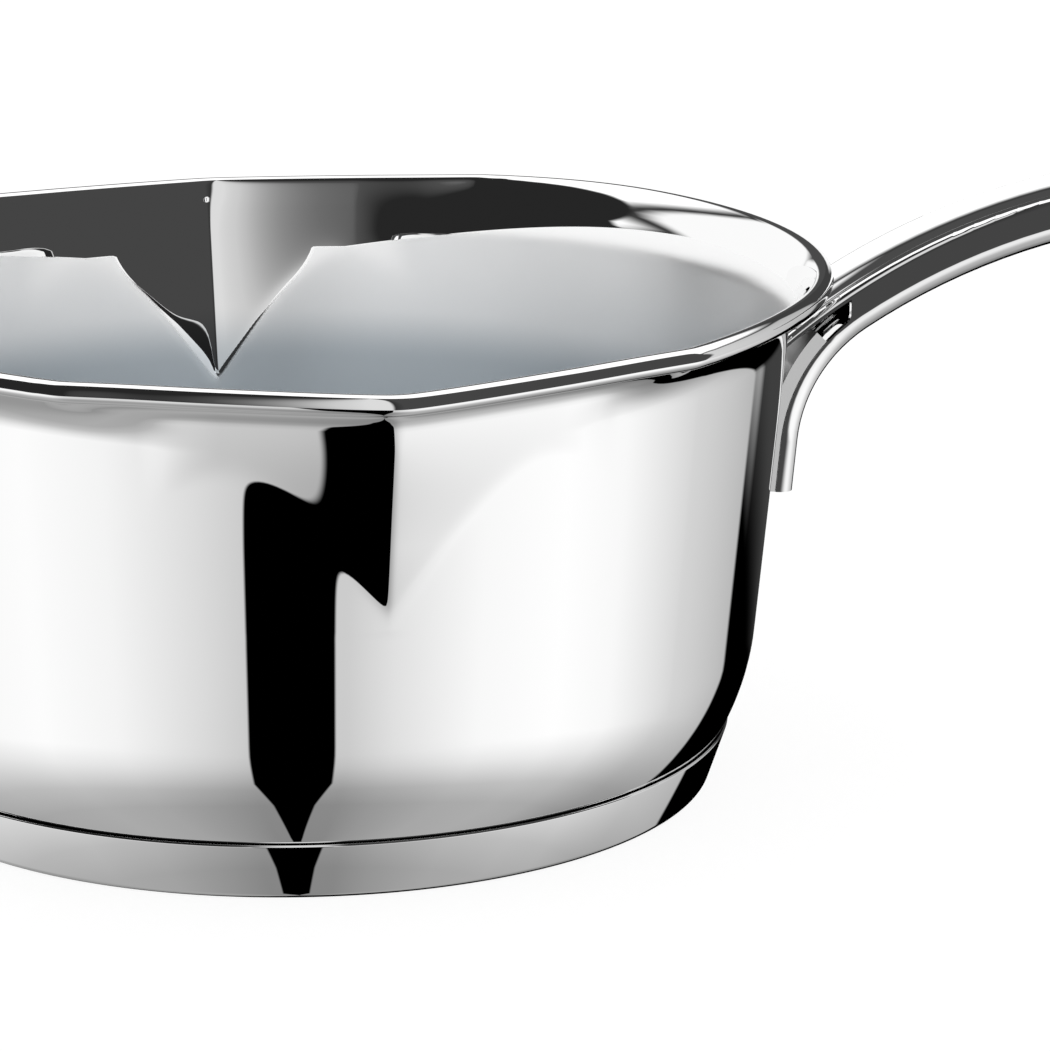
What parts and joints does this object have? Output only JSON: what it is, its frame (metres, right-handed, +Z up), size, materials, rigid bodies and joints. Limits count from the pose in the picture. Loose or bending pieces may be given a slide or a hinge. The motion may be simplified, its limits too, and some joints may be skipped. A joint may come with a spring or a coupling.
{
  "type": "milk pan",
  "caption": "Tapered stainless steel milk pan with two pressed pouring spouts in a flared, rolled rim, a capsule base and a hollow handle that forks at the wall.",
  "frame": {"origin": "centre of the base's underside, on the axis of the vessel", "axes": "+Z up along the axis of the vessel, +X along the handle, the two spouts on +Y and -Y"},
  "size_m": [0.3268, 0.1742, 0.0999],
  "materials": {
    "pan_steel": "polished outside and round the lip, satin inside",
    "core_aluminium": "plain, hidden",
    "cap_steel": "mirror polished side, turned underside",
    "handle_steel": "mirror polished",
    "bracket_steel": "brushed"
  },
  "bodies": {
    "root": {"pan_body": "pan_steel", "base_core": "core_aluminium", "base_cap": "cap_steel", "handle_top": "handle_steel", "handle_bottom": "handle_steel", "handle_bracket": "bracket_steel"}
  },
  "joints": []
}
